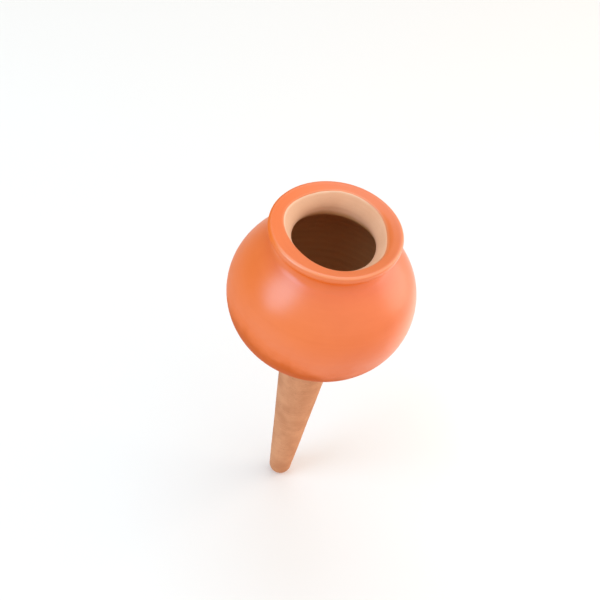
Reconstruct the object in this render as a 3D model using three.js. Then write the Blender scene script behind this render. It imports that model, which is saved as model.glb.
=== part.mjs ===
// Plant watering globe: a hollow terracotta globe with an open mouth and a rolled lip, painted outside,
// that stands in a planter on a porous spike. Water seeps out of the globe through the spike.
// Millimetres, +Z up. The origin is on the axis at the soil line, which is the underside of the collar.

import * as THREE from "three";

// Globe, measured over the paint. The height is that of the whole ellipsoid, from pole to pole.
const GLOBE_DIAMETER = 100;
const GLOBE_HEIGHT = 86.6;
const GLOBE_WALL = 5.5;

// Neck and lip, measured over the paint.
const NECK_DIAMETER = 59.6;
const NECK_LENGTH = 3.1;
const NECK_FILLET = 6;
const LIP_OVERHANG = 4.6;
const LIP_UNDERCUT = 2.5;
const LIP_FOOT_ROUND = 1.5;
const LIP_CHEEK = 1.7;
const LIP_ROUND = 1.4;

// Mouth: the lip's top slopes in to a rounded edge, where a funnel starts down to the throat over the
// reservoir's ceiling.
const LIP_TOP_WIDTH = 4.4;
const LIP_TOP_DROP = 1.5;
const MOUTH_ROUND = 1.4;
const FUNNEL_BEND = 3.1;
const NECK_WALL = 6.7;
const THROAT_NOSE = 4.3;
const THROAT_BLEND = 5;

// Collar under the globe and the socket in it.
const COLLAR_LENGTH = 7.3;
const COLLAR_FILLET = 4;
const COLLAR_EDGE = 0.8;
const SOIL_LEDGE = 3.2;
const SOCKET_DIAMETER = 24;
const SOCKET_FLOOR = 3.5;

// Spike, its spigot and the bed of slip that the spigot stands against.
const SPIKE_LENGTH = 115;
const SPIKE_TIP_DIAMETER = 13;
const SPIKE_WALL = 4;
const SHOULDER_WIDTH = 2.5;
const SHOULDER_RECESS = 1.2;
const SHOULDER_EDGE = 0.6;
const TIP_THICKNESS = 9;
const BED_THICKNESS = 1.5;

// Paint and fits.
const COAT_THICKNESS = 0.4;
const COAT_HEM = 1.6;
const COAT_CLEARANCE = 0.05;
const SOCKET_CLEARANCE = 0.3;

// Facets: around the axis, along the globe and along a small round.
const TURN_STEPS = 40;
const GLOBE_STEPS = 16;
const ROUND_STEPS = 4;

// Limits of the arithmetic: the end of a search for an angle, and points that count as one.
const SEARCH_LIMIT = 1e-9;
const SAME_PLACE = 1e-6;

// The clay lies under the paint. The collar takes in the spike's shoulder and rests on the soil by a ledge.
const CLAY_INSET = COAT_THICKNESS + COAT_CLEARANCE;
const SOCKET_RADIUS = SOCKET_DIAMETER / 2;
const SHOULDER_RADIUS = SOCKET_RADIUS + SHOULDER_WIDTH;
const RECESS_RADIUS = SHOULDER_RADIUS + SOCKET_CLEARANCE;
const COLLAR_RADIUS = RECESS_RADIUS + SOIL_LEDGE + COLLAR_EDGE + CLAY_INSET;
const SPIGOT_RADIUS = SOCKET_RADIUS - SOCKET_CLEARANCE;
const BORE_RADIUS = SPIGOT_RADIUS - SPIKE_WALL;
const TIP_RADIUS = SPIKE_TIP_DIAMETER / 2;

/** A point of a profile: its distance from the axis and its height. */
function point(radius, height) {
  return new THREE.Vector2(radius, height);
}

/** Points of an arc, which is round when both radii are the same. */
function arc(centre, radii, from, to, steps) {
  const clockwise = to < from;
  const curve = new THREE.EllipseCurve(centre.x, centre.y, radii.x, radii.y, from, to, clockwise);
  return curve.getPoints(steps);
}

/** Points of a circular arc. */
function round(centre, radius, from, to, steps = ROUND_STEPS) {
  return arc(centre, point(radius, radius), from, to, steps);
}

/** Unit normal of an ellipse at one of its angles. */
function ellipseNormal(radii, angle) {
  return point(Math.cos(angle) / radii.x, Math.sin(angle) / radii.y).normalize();
}

/** Point of an ellipse about the origin at one of its angles. */
function ellipsePoint(radii, angle) {
  return point(radii.x * Math.cos(angle), radii.y * Math.sin(angle));
}

/** Angle of an ellipse at a given distance from the axis. */
function ellipseAngle(radii, radius) {
  return Math.acos(radius / radii.x);
}

/** Fillet between an ellipse and a wall rising from it: its centre, and where on the ellipse it leaves. */
function wallFillet(radii, wallRadius, fillet) {
  let low = 0;
  let high = Math.PI / 2;
  let centre = point(0, 0);
  while (high - low > SEARCH_LIMIT) {
    const middle = (low + high) / 2;
    centre = ellipsePoint(radii, middle).addScaledVector(ellipseNormal(radii, middle), fillet);
    if (centre.x > wallRadius + fillet) {
      low = middle;
    } else {
      high = middle;
    }
  }
  return { angle: low, centre, normal: ellipseNormal(radii, low).angle() };
}

/** Angle on a circle, on its clockwise side, where a line to a point or to another circle leaves it. */
function tangentAngle(centre, radius, other, otherRadius = 0) {
  const away = other.clone().sub(centre);
  return away.angle() - Math.acos((radius - otherRadius) / away.length());
}

// Heights of the globe, which follow from the collar under it and the fillets around it.
const globeRadii = point(GLOBE_DIAMETER / 2, GLOBE_HEIGHT / 2);
const collarFillet = wallFillet(globeRadii, COLLAR_RADIUS, COLLAR_FILLET);
const globeCentre = point(0, COLLAR_LENGTH + collarFillet.centre.y);
const neckRadius = NECK_DIAMETER / 2;
const neckFillet = wallFillet(globeRadii, neckRadius, NECK_FILLET);
const neckTop = globeCentre.y + neckFillet.centre.y + NECK_LENGTH;

// Lip: a rolled edge with an upright cheek that stands out from the neck over a small hollow.
const lipRadius = neckRadius + LIP_OVERHANG;
const footCentre = point(lipRadius - LIP_FOOT_ROUND, 0);
const hollowCentre = point(neckRadius + LIP_UNDERCUT, neckTop);
const hollowReach = LIP_FOOT_ROUND + LIP_UNDERCUT;
const hollowOffset = footCentre.x - hollowCentre.x;
footCentre.y = neckTop + Math.sqrt(hollowReach ** 2 - hollowOffset ** 2);
const rollCentre = point(lipRadius - LIP_ROUND, footCentre.y + LIP_CHEEK);

// Reservoir, with the socket cut up into its floor from below.
const reservoirRadii = globeRadii.clone().subScalar(GLOBE_WALL);
const outletAngle = ellipseAngle(reservoirRadii, BORE_RADIUS);
const reservoirFloor = globeCentre.y - reservoirRadii.y;
const socketTop = reservoirFloor - SOCKET_FLOOR;
const spigotTop = socketTop - BED_THICKNESS;

// Mouth and throat inside the neck.
const mouthCentre = point(rollCentre.x - LIP_TOP_WIDTH, rollCentre.y - LIP_TOP_DROP);
const rollAngle = tangentAngle(rollCentre, LIP_ROUND, mouthCentre, MOUTH_ROUND);
const throatRadius = neckRadius - NECK_WALL;
const throatAngle = ellipseAngle(reservoirRadii, throatRadius);
const throatCeiling = ellipsePoint(reservoirRadii, throatAngle).add(globeCentre);
const throat = point(throatRadius, throatCeiling.y + THROAT_NOSE);
const funnelBend = point(throatRadius, throat.y + FUNNEL_BEND);
const mouthAngle = tangentAngle(mouthCentre, MOUTH_ROUND, funnelBend);

/** Outside of the globe at a depth under the paint: up from the collar, over the lip, into the mouth. */
function outside(inset) {
  const radii = globeRadii.clone().subScalar(inset);
  const lower = wallFillet(radii, COLLAR_RADIUS - inset, COLLAR_FILLET + inset);
  const upper = wallFillet(radii, neckRadius - inset, NECK_FILLET + inset);
  const lowerCentre = point(lower.centre.x, globeCentre.y - lower.centre.y);
  const upperCentre = point(upper.centre.x, globeCentre.y + upper.centre.y);
  const hollowAngle = Math.atan2(footCentre.y - hollowCentre.y, hollowOffset);
  return [
    ...round(lowerCentre, COLLAR_FILLET + inset, Math.PI, Math.PI - lower.normal),
    ...arc(globeCentre, radii, -lower.angle, upper.angle, GLOBE_STEPS),
    ...round(upperCentre, NECK_FILLET + inset, Math.PI + upper.normal, Math.PI),
    ...round(hollowCentre, LIP_UNDERCUT + inset, Math.PI, hollowAngle),
    ...round(footCentre, LIP_FOOT_ROUND - inset, hollowAngle - Math.PI, 0),
    ...round(rollCentre, LIP_ROUND - inset, 0, rollAngle),
    ...round(mouthCentre, MOUTH_ROUND - inset, rollAngle, mouthAngle, ROUND_STEPS - 1),
  ];
}

/** Inside of the globe: from the mouth through funnel and throat, and round the reservoir to the outlet. */
function inside(start) {
  const ceilingAngle = ellipseAngle(reservoirRadii, throat.x + THROAT_BLEND);
  const ceiling = ellipsePoint(reservoirRadii, ceilingAngle).add(globeCentre);
  return [
    ...new THREE.QuadraticBezierCurve(start, funnelBend, throat).getPoints(ROUND_STEPS),
    ...new THREE.QuadraticBezierCurve(throat, throatCeiling, ceiling).getPoints(ROUND_STEPS),
    ...arc(globeCentre, reservoirRadii, ceilingAngle, -outletAngle, GLOBE_STEPS),
  ];
}

/** Tapered pin with a round end on the axis: from its end up to the rim that it widens to. */
function taper(rim, endRadius, endHeight) {
  const centre = point(0, endHeight + endRadius);
  const touch = tangentAngle(centre, endRadius, rim);
  return [...round(centre, endRadius, -Math.PI / 2, touch), rim];
}

/** Solid of revolution about Z. The profile runs up the outside, and closes on itself or on the axis. */
function revolve(profile) {
  const apart = (place, i) => i === 0 || place.distanceTo(profile[i - 1]) > SAME_PLACE;
  return new THREE.LatheGeometry(profile.filter(apart), TURN_STEPS).rotateX(Math.PI / 2);
}

/** Profile that ends where it began. */
function closed(profile) {
  return [...profile, profile[0].clone()];
}

/** Terracotta reservoir with its lip, collar and socket. */
function globeShell() {
  const clayCollar = COLLAR_RADIUS - CLAY_INSET;
  const edgeCentre = point(clayCollar - COLLAR_EDGE, COLLAR_EDGE);
  const underPaint = outside(CLAY_INSET);
  return revolve(closed([
    point(RECESS_RADIUS, 0),
    ...round(edgeCentre, COLLAR_EDGE, -Math.PI / 2, 0),
    ...underPaint,
    ...inside(underPaint.at(-1)),
    point(BORE_RADIUS, socketTop),
    point(SOCKET_RADIUS, socketTop),
    point(SOCKET_RADIUS, SHOULDER_RECESS),
    point(RECESS_RADIUS, SHOULDER_RECESS),
  ]));
}

/** Skin of paint over the clay, from a hem on the collar to the edge of the mouth. */
function sealingCoat() {
  const hem = point(COLLAR_RADIUS, COAT_HEM);
  const innerHem = point(COLLAR_RADIUS - COAT_THICKNESS, COAT_HEM);
  return revolve(closed([
    hem,
    ...outside(0),
    ...outside(COAT_THICKNESS).reverse(),
    innerHem,
  ]));
}

/** Porous cone with a blind bore, a shoulder let into the collar and a spigot in the socket. */
function spike() {
  const head = point(SHOULDER_RADIUS, SHOULDER_RECESS - SHOULDER_EDGE);
  const edgeCentre = point(SHOULDER_RADIUS - SHOULDER_EDGE, head.y);
  const boreEnd = TIP_RADIUS - SPIKE_WALL;
  return revolve([
    ...taper(head, TIP_RADIUS, -SPIKE_LENGTH),
    ...round(edgeCentre, SHOULDER_EDGE, 0, Math.PI / 2),
    point(SPIGOT_RADIUS, SHOULDER_RECESS),
    point(SPIGOT_RADIUS, spigotTop),
    ...taper(point(BORE_RADIUS, spigotTop), boreEnd, TIP_THICKNESS - SPIKE_LENGTH).reverse(),
  ]);
}

/** Ring of slip between the end of the spigot and the top of the socket. */
function lutingBed() {
  return revolve(closed([
    point(BORE_RADIUS, spigotTop),
    point(SPIGOT_RADIUS, spigotTop),
    point(SPIGOT_RADIUS, socketTop),
    point(BORE_RADIUS, socketTop),
  ]));
}

/** Named piece with its own finish. */
function piece(name, geometry, color, roughness) {
  const material = new THREE.MeshStandardMaterial({ color, roughness, metalness: 0 });
  const mesh = new THREE.Mesh(geometry, material);
  mesh.name = name;
  return mesh;
}

const wateringGlobe = new THREE.Group();
wateringGlobe.name = "watering_globe";
wateringGlobe.add(
  piece("globe_shell", globeShell(), 0xe2a882, 0.9),
  piece("sealing_coat", sealingCoat(), 0xf38550, 0.4),
  piece("spike", spike(), 0xc98560, 0.95),
  piece("luting_bed", lutingBed(), 0xb5744f, 0.95),
);

export default wateringGlobe;
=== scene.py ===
"""Looks of a plant watering globe: painted terracotta with an open, rolled lip, on a porous spike.

Every piece is turned about the globe's axis from a half section of lines and arcs, shaped as a potter's
hands and brush leave it, and dressed with a procedural finish. Metres, +Z up, with the origin on the axis at
the ground line.
"""

import logging
import math
from abc import ABC, abstractmethod
from dataclasses import dataclass
from enum import Enum, IntEnum
from functools import cached_property
from typing import Any, Mapping, NamedTuple, Union

import bmesh
import bpy
from mathutils import Euler, Matrix, Vector, noise


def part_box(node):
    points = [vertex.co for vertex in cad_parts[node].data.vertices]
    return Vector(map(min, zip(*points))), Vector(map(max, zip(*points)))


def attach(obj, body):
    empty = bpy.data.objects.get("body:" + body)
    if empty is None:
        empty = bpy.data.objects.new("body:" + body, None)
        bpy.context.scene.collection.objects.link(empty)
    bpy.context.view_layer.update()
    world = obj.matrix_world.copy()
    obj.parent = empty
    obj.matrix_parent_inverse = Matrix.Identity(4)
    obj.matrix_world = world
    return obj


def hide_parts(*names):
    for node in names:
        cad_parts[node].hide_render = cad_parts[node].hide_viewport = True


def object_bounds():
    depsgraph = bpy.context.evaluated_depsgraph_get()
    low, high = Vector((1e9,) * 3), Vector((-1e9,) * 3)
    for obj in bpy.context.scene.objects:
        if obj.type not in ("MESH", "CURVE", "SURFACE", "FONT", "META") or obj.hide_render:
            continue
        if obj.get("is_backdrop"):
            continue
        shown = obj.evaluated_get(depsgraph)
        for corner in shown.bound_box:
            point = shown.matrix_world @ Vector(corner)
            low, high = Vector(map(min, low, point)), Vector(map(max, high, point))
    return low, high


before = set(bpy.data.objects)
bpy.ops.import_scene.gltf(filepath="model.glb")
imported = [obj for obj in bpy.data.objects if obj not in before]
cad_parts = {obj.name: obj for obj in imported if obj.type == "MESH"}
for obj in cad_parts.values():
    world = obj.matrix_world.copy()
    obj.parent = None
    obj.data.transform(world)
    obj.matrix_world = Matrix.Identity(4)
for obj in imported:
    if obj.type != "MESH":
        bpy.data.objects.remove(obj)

MM = 0.001
HALF_TURN = math.pi
QUARTER_TURN = math.pi / 2
AXIS = Vector((0.0, 0.0, 1.0))
ACROSS = Vector((1.0, 0.0))
SAME_PLACE = 0.002 * MM
SEARCH_LIMIT = 1e-9
CURVE_STEPS = 2
ROUND_STEPS = 5
SHARP_EDGE = math.radians(42.0)
HOOP_SLANT = 0.5
NOISE_MIDDLE = 0.5
EDGE_RUN = "edge_run"

Colour = tuple[float, float, float, float]
Number = Union["Socket", float]

log = logging.getLogger("watering_globe")


class Rise(NamedTuple):
    """Smooth rise from 0 to 1 between two values, of which the second may be the lower one."""

    zero_at: float
    one_at: float


class Cloud(NamedTuple):
    """Noise with patches of a size, and with a number of finer layers of a strength in them."""

    size: float
    detail: float = 2.0
    roughness: float = 0.5


class Dots(NamedTuple):
    """Round dots with a soft edge around their core, in a share of the cells that lie a spacing apart."""

    spacing: float
    radius: float
    share: float
    core: float = 0.6


class MixSocket(IntEnum):
    """Numbers of a Mix node's sockets for colours, whose names repeat."""

    SHARE = 0
    FIRST = 6
    SECOND = 7
    RESULT = 2


class Socket:
    """Output of a shader node that takes part in arithmetic."""

    def __init__(self, bench: "NodeBench", outlet: Any) -> None:
        """Wraps the outlet of a node on a bench."""
        self.bench = bench
        self.outlet = outlet

    def other(self, name: str) -> "Socket":
        """Another output of the same node."""
        return Socket(self.bench, self.outlet.node.outputs[name])

    def __add__(self, other: Number) -> "Socket":
        """Sum of two values."""
        return self.bench.math("ADD", self, other)

    __radd__ = __add__

    def __sub__(self, other: Number) -> "Socket":
        """Difference of two values."""
        return self.bench.math("SUBTRACT", self, other)

    def __rsub__(self, other: Number) -> "Socket":
        """Difference with a number on the left."""
        return self.bench.math("SUBTRACT", other, self)

    def __mul__(self, other: Number) -> "Socket":
        """Product of two values."""
        return self.bench.math("MULTIPLY", self, other)

    __rmul__ = __mul__


class NodeBench:
    """Node tree of a material or of the world, with the means to add nodes to it."""

    def __init__(self, owner: Any) -> None:
        """Clears the owner's node tree.

        Args:
            owner: the material or world whose nodes are made here.
        """
        owner.use_nodes = True
        self.tree = owner.node_tree
        self.tree.nodes.clear()

    def add(
        self,
        kind: str,
        settings: Mapping[str, Any],
        sockets: Mapping[Union[int, str], Any],
        output: Union[int, str] = 0,
    ) -> Socket:
        """Makes a node, sets it up and links it.

        Args:
            kind: type of the node.
            settings: properties of the node, set before its sockets.
            sockets: values or links of its inputs, by name or number.
            output: the output to return.

        Returns:
            The chosen output, or an empty one for a node without outputs.
        """
        node = self.tree.nodes.new(kind)
        for name, setting in settings.items():
            setattr(node, name, setting)
        for name, value in sockets.items():
            if isinstance(value, Socket):
                self.tree.links.new(value.outlet, node.inputs[name])
            else:
                node.inputs[name].default_value = value
        return Socket(self, node.outputs[output] if node.outputs else None)

    def math(self, operation: str, first: Number, second: Number = 0.0) -> Socket:
        """Math node on one or two values."""
        return self.add("ShaderNodeMath", {"operation": operation}, {0: first, 1: second})

    def place(self) -> Socket:
        """Place on the piece, in metres."""
        return self.add("ShaderNodeTexCoord", {}, {}, "Object")

    def edge_run(self) -> Socket:
        """Distance from the paint's edge at the mouth, positive on the paint, in metres."""
        return self.add("ShaderNodeAttribute", {"attribute_name": EDGE_RUN}, {}, "Fac")

    def join(self, x: Number, y: Number, z: Number) -> Socket:
        """Vector of three values."""
        return self.add("ShaderNodeCombineXYZ", {}, {"X": x, "Y": y, "Z": z})

    def cloud(self, place: Socket, cloud: Cloud) -> Socket:
        """Reads a noise.

        Args:
            place: where it is read.
            cloud: the noise, sized in the units of place.

        Returns:
            Its value, between 0 and 1.
        """
        return self.add("ShaderNodeTexNoise", {}, {
            "Vector": place,
            "Scale": 1.0 / cloud.size,
            "Detail": cloud.detail,
            "Roughness": cloud.roughness,
        })

    def dots(self, place: Socket, dots: Dots) -> Socket:
        """Scatters round dots.

        Args:
            place: where the dots are read.
            dots: the dots, sized in the units of place.

        Returns:
            1 inside a dot and 0 between dots.
        """
        sockets = {"Vector": place, "Scale": 1.0 / dots.spacing}
        cells = self.add("ShaderNodeTexVoronoi", {}, sockets, "Distance")
        reach = dots.radius / dots.spacing
        inside = self.ramp(cells, Rise(reach, dots.core * reach))
        chance = self.add("ShaderNodeSeparateColor", {}, {"Color": cells.other("Color")}, "Red")
        return inside * self.math("LESS_THAN", chance, dots.share)

    def ramp(self, value: Socket, rise: Rise) -> Socket:
        """Rises smoothly with a value.

        Args:
            value: the value that the rise follows.
            rise: where the rise starts and ends.

        Returns:
            The risen value, between 0 and 1.
        """
        ends = (0.0, 1.0) if rise.zero_at < rise.one_at else (1.0, 0.0)
        return self.add("ShaderNodeMapRange", {"interpolation_type": "SMOOTHSTEP"}, {
            "Value": value,
            "From Min": min(rise),
            "From Max": max(rise),
            "To Min": ends[0],
            "To Max": ends[1],
        })

    def mix(self, share: Number, first: Any, second: Any) -> Socket:
        """Colour between two colours."""
        sockets = {MixSocket.SHARE: share, MixSocket.FIRST: first, MixSocket.SECOND: second}
        return self.add("ShaderNodeMix", {"data_type": "RGBA"}, sockets, MixSocket.RESULT)

    def bump(self, height: Socket, depth: float, under: Union[Socket, None] = None) -> Socket:
        """Normal of a fine relief.

        Args:
            height: height of the relief, between 0 and 1.
            depth: depth that a height of 1 stands for, in metres.
            under: normal of a coarser relief that this one lies on.

        Returns:
            The bent normal.
        """
        sockets = {"Strength": 1.0, "Distance": depth, "Height": height}
        if under is not None:
            sockets["Normal"] = under
        return self.add("ShaderNodeBump", {}, sockets)

    def seen_ray(self) -> Socket:
        """Tells the rays that are seen from those that light other things.

        Returns:
            1 for what the camera sees, also by reflection or through glass, and 0 otherwise.
        """
        camera = self.add("ShaderNodeLightPath", {}, {}, "Is Camera Ray")
        bent = self.math("MAXIMUM", camera.other("Is Glossy Ray"), camera.other("Is Transmission Ray"))
        return self.math("MAXIMUM", camera, bent)


@dataclass(frozen=True)
class TurnedPlace:
    """Places on a turned piece, as shader values: the place, its parts, its radius and the hoop."""

    bench: NodeBench
    place: Socket
    side: Socket
    back: Socket
    radius: Socket
    height: Socket
    hoop: Socket

    @classmethod
    def on(cls, bench: NodeBench, hoop_length: float, hoop_width: float) -> "TurnedPlace":
        """Reads the places of a piece.

        Args:
            bench: the node tree that reads them.
            hoop_length: how far a hoop's pattern holds along the circles about the axis.
            hoop_width: how far it holds across them.

        Returns:
            The places. The hoop is a vector in steps of the hoop's length and width.
        """
        place = bench.place()
        x = bench.add("ShaderNodeSeparateXYZ", {}, {"Vector": place}, "X")
        y = x.other("Y")
        height = x.other("Z")
        radius = bench.math("SQRT", x * x + y * y)
        across = (height + HOOP_SLANT * radius) * (1.0 / hoop_width)
        hoop = bench.join(x * (1.0 / hoop_length), y * (1.0 / hoop_length), across)
        return cls(bench, place, x, y, radius, height, hoop)

    def from_ring(self, ring: Vector) -> Socket:
        """Measures the way to a circle about the axis.

        Args:
            ring: radius and height of the circle.

        Returns:
            The distance from the circle.
        """
        across = self.radius - ring.x
        above = self.height - ring.y
        return self.bench.math("SQRT", across * across + above * above)


@dataclass(frozen=True, kw_only=True)
class Finish(ABC):
    """Look of a surface."""

    name: str

    @abstractmethod
    def sockets(self, bench: NodeBench) -> dict[str, Any]:
        """Values and links of the shader's sockets."""

    def material(self) -> bpy.types.Material:
        """Makes the finish's material.

        Returns:
            The material, with its nodes.
        """
        material = bpy.data.materials.new(self.name)
        bench = NodeBench(material)
        shader = bench.add("ShaderNodeBsdfPrincipled", {}, self.sockets(bench))
        bench.add("ShaderNodeOutputMaterial", {}, {"Surface": shader})
        return material


class PaintMarks(NamedTuple):
    """Patterns and masks that the colour and the varnish of the paint share."""

    patches: Socket
    mottle: Socket
    brush: Socket
    above_shade_border: Socket
    lit_side: Socket


@dataclass(frozen=True, kw_only=True)
class SatinPaint(Finish):
    """Orange sealing paint under a satin varnish: thin at the edge, a painted highlight on the thin crest,
    painted shade and dull below.

    The crest, the cheek and the hollow of the lip are circles about the axis, given by radius and height.
    """

    name: str = "satin_orange_paint"
    crest: Vector
    cheek: Vector
    hollow: Vector
    deep: Colour = (0.820, 0.147, 0.018, 1.0)
    light: Colour = (0.860, 0.167, 0.025, 1.0)
    # thin paint at the mouth's edge; on the lip's crest the same colour is a painted highlight line
    thin: Colour = (0.930, 0.370, 0.170, 1.0)
    # painted shade over the lower globe, below a slanted, wavy border
    painted_shade: Colour = (0.620, 0.114, 0.020, 1.0)
    speck: Colour = (0.520, 0.105, 0.026, 1.0)
    patches: Cloud = Cloud(32 * MM)
    patch_share: float = 0.55
    mottle: Cloud = Cloud(5 * MM, detail=3.0)
    mottle_share: float = 0.15
    brush: Cloud = Cloud(1.0, detail=3.0, roughness=0.6)
    brush_length: float = 60 * MM
    brush_width: float = 1.6 * MM
    brush_share: float = 0.3
    brush_depth: float = 0.006 * MM
    peel: Cloud = Cloud(1.3 * MM, detail=1.0)
    peel_depth: float = 0.004 * MM
    tone: Rise = Rise(0.3, 0.7)
    streaks: Rise = Rise(0.1, 0.5)
    # painted highlight line along the lip's crest: how near the crest and how strong
    near_crest: Rise = Rise(1.3 * MM, 0.0)
    crest_highlight_strength: float = 0.44
    near_edge: Rise = Rise(1.4 * MM, 0.0)
    edge_strength: float = 0.45
    # side of the lip that catches the light, where the painted crest highlight shows
    lit_side_angle: float = math.radians(-40.0)
    lit_side: Rise = Rise(-16 * MM, 2 * MM)
    specks: Dots = Dots(6 * MM, 0.18 * MM, share=0.25)
    speck_strength: float = 0.4
    # slant and waves of the painted shade's border, which also dulls the varnish
    shade_side_slant: float = 0.18
    shade_back_slant: float = 0.13
    shade_border_wave: float = 16 * MM
    shade_border_mottle: float = 5 * MM
    # painted shade: where it rises below its border
    shade_rise: Rise = Rise(41 * MM, 27 * MM)
    over_dull: Rise = Rise(29 * MM, 48 * MM)
    off_worn_side: Rise = Rise(-74 * MM, -12 * MM)
    off_hollow: Rise = Rise(2 * MM, 6 * MM)
    near_cheek: Rise = Rise(3 * MM, 1.3 * MM)
    roughness: float = 0.42
    roughness_spread: float = 0.06
    ior: float = 1.5
    gloss: float = 0.01
    varnish_roughness: float = 0.34
    varnish_ior: float = 1.7

    def sockets(self, bench: NodeBench) -> dict[str, Any]:
        """Finds the values and links of the paint's shader, whose coat is the varnish.

        Args:
            bench: the node tree of the paint.

        Returns:
            The sockets, by name.
        """
        at = TurnedPlace.on(bench, self.brush_length, self.brush_width)
        marks = self._marks(at)
        uneven = (marks.brush - NOISE_MIDDLE) + (marks.mottle - NOISE_MIDDLE)
        relief = bench.bump(marks.brush, self.brush_depth)
        return {
            "Base Color": self._colour(at, marks),
            "Roughness": self.roughness + self.roughness_spread * uneven,
            "Normal": bench.bump(bench.cloud(at.place, self.peel), self.peel_depth, relief),
            "IOR": self.ior,
            "Specular IOR Level": self.gloss,
            "Coat Weight": self._varnish(at, marks),
            "Coat Roughness": self.varnish_roughness,
            "Coat IOR": self.varnish_ior,
        }

    def _marks(self, at: TurnedPlace) -> PaintMarks:
        """Finds the brush marks, the border of the painted shade and the lip's lit side, where the crest
        highlight is painted.

        Args:
            at: places on the painted skin.

        Returns:
            The patterns and masks, with the height over the uneven, slanted border of the painted shade.
        """
        bench = at.bench
        patches = bench.cloud(at.place, self.patches)
        mottle = bench.cloud(at.place, self.mottle)
        # height over the slanted, wavy border of the painted shade on the lower globe
        above_shade_border = at.height + self.shade_side_slant * at.side + self.shade_back_slant * at.back
        above_shade_border += self.shade_border_wave * (patches - NOISE_MIDDLE) + self.shade_border_mottle * (mottle - NOISE_MIDDLE)
        # toward the lip's lit side, where the painted crest highlight shows
        toward_lit_side = math.cos(self.lit_side_angle) * at.side + math.sin(self.lit_side_angle) * at.back
        return PaintMarks(
            patches=patches,
            mottle=mottle,
            brush=bench.cloud(at.hoop, self.brush),
            above_shade_border=above_shade_border,
            lit_side=bench.ramp(toward_lit_side, self.lit_side),
        )

    def _colour(self, at: TurnedPlace, marks: PaintMarks) -> Socket:
        """Mixes the paint's colour.

        Args:
            at: places on the painted skin.
            marks: patterns and masks of the paint.

        Returns:
            The colour, darkened below by painted shade, with a painted highlight on the thin lip's crest,
            thin at the mouth's edge and with a few specks.
        """
        bench = at.bench
        tone = self.patch_share * marks.patches + self.mottle_share * marks.mottle
        tone += self.brush_share * marks.brush
        colour = bench.mix(bench.ramp(tone, self.tone), self.deep, self.light)
        # painted shade darkens the lower globe
        colour = bench.mix(bench.ramp(marks.above_shade_border, self.shade_rise), colour, self.painted_shade)
        # painted highlight line along the lip's crest, on the lit side only, over thin paint there
        crest = self.crest_highlight_strength * marks.lit_side * bench.ramp(at.from_ring(self.crest), self.near_crest)
        edge = self.edge_strength * bench.ramp(bench.edge_run(), self.near_edge)
        streaks = bench.ramp(marks.brush, self.streaks)
        colour = bench.mix(bench.math("MAXIMUM", crest, edge) * streaks, colour, self.thin)
        return bench.mix(self.speck_strength * bench.dots(at.place, self.specks), colour, self.speck)

    def _varnish(self, at: TurnedPlace, marks: PaintMarks) -> Socket:
        """Finds where the varnish is whole.

        Args:
            at: places on the painted skin.
            marks: patterns and masks of the paint.

        Returns:
            1 where it is whole, and less below the painted shade's border, on the worn side, in the hollow
            under the lip and on the lip's cheek away from its lit side.
        """
        bench = at.bench
        varnish = bench.ramp(marks.above_shade_border, self.over_dull)
        varnish = varnish * bench.ramp(at.side, self.off_worn_side)
        varnish = varnish * bench.ramp(at.from_ring(self.hollow), self.off_hollow)
        cheek = bench.ramp(at.from_ring(self.cheek), self.near_cheek)
        return varnish * (1.0 - cheek * (1.0 - marks.lit_side))


@dataclass(frozen=True, kw_only=True)
class BareClay(Finish):
    """Unglazed fired clay: grain, fine pores, grog specks and faint hoops from turning."""

    light: Colour = (0.875, 0.446, 0.250, 1.0)
    deep: Colour = (0.790, 0.378, 0.200, 1.0)
    grog: Colour = (0.520, 0.240, 0.130, 1.0)
    patches: Cloud = Cloud(18 * MM, detail=3.0)
    patch_share: float = 0.6
    grain: Cloud = Cloud(0.45 * MM, detail=3.0, roughness=0.65)
    grain_share: float = 0.25
    grain_depth: float = 0.018 * MM
    hoops: Cloud = Cloud(1.0)
    hoop_length: float = 70 * MM
    hoop_width: float = 1.4 * MM
    hoop_share: float = 0.15
    hoop_depth: float = 0.012 * MM
    tone: Rise = Rise(0.3, 0.7)
    specks: Dots = Dots(3.2 * MM, 0.22 * MM, share=0.35)
    speck_strength: float = 0.4
    pores: Dots = Dots(1.7 * MM, 0.16 * MM, share=0.4)
    pore_strength: float = 0.3
    pore_depth: float = 0.080 * MM
    roughness: float = 0.82
    roughness_spread: float = 0.16
    gloss: float = 0.25

    def sockets(self, bench: NodeBench) -> dict[str, Any]:
        """Finds the values and links of the clay's shader.

        Args:
            bench: the node tree of the clay.

        Returns:
            The sockets, by name.
        """
        at = TurnedPlace.on(bench, self.hoop_length, self.hoop_width)
        patches = bench.cloud(at.place, self.patches)
        grain = bench.cloud(at.place, self.grain)
        hoops = bench.cloud(at.hoop, self.hoops)
        pores = bench.dots(at.place, self.pores)
        tone = self.patch_share * patches + self.grain_share * grain + self.hoop_share * hoops
        colour = self.tint(at, bench.mix(bench.ramp(tone, self.tone), self.deep, self.light))
        colour = bench.mix(self.speck_strength * bench.dots(at.place, self.specks), colour, self.grog)
        colour = bench.mix(self.pore_strength * pores, colour, self.grog)
        relief = bench.bump(hoops, self.hoop_depth)
        relief = bench.bump(grain, self.grain_depth, relief)
        return {
            "Base Color": colour,
            "Roughness": self.roughness + self.roughness_spread * grain,
            "Normal": bench.bump(1.0 - pores, self.pore_depth, relief),
            "Specular IOR Level": self.gloss,
        }

    def tint(self, at: TurnedPlace, colour: Socket) -> Socket:
        """Colour of the clay in its place, which is the same all over here."""
        return colour


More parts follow.
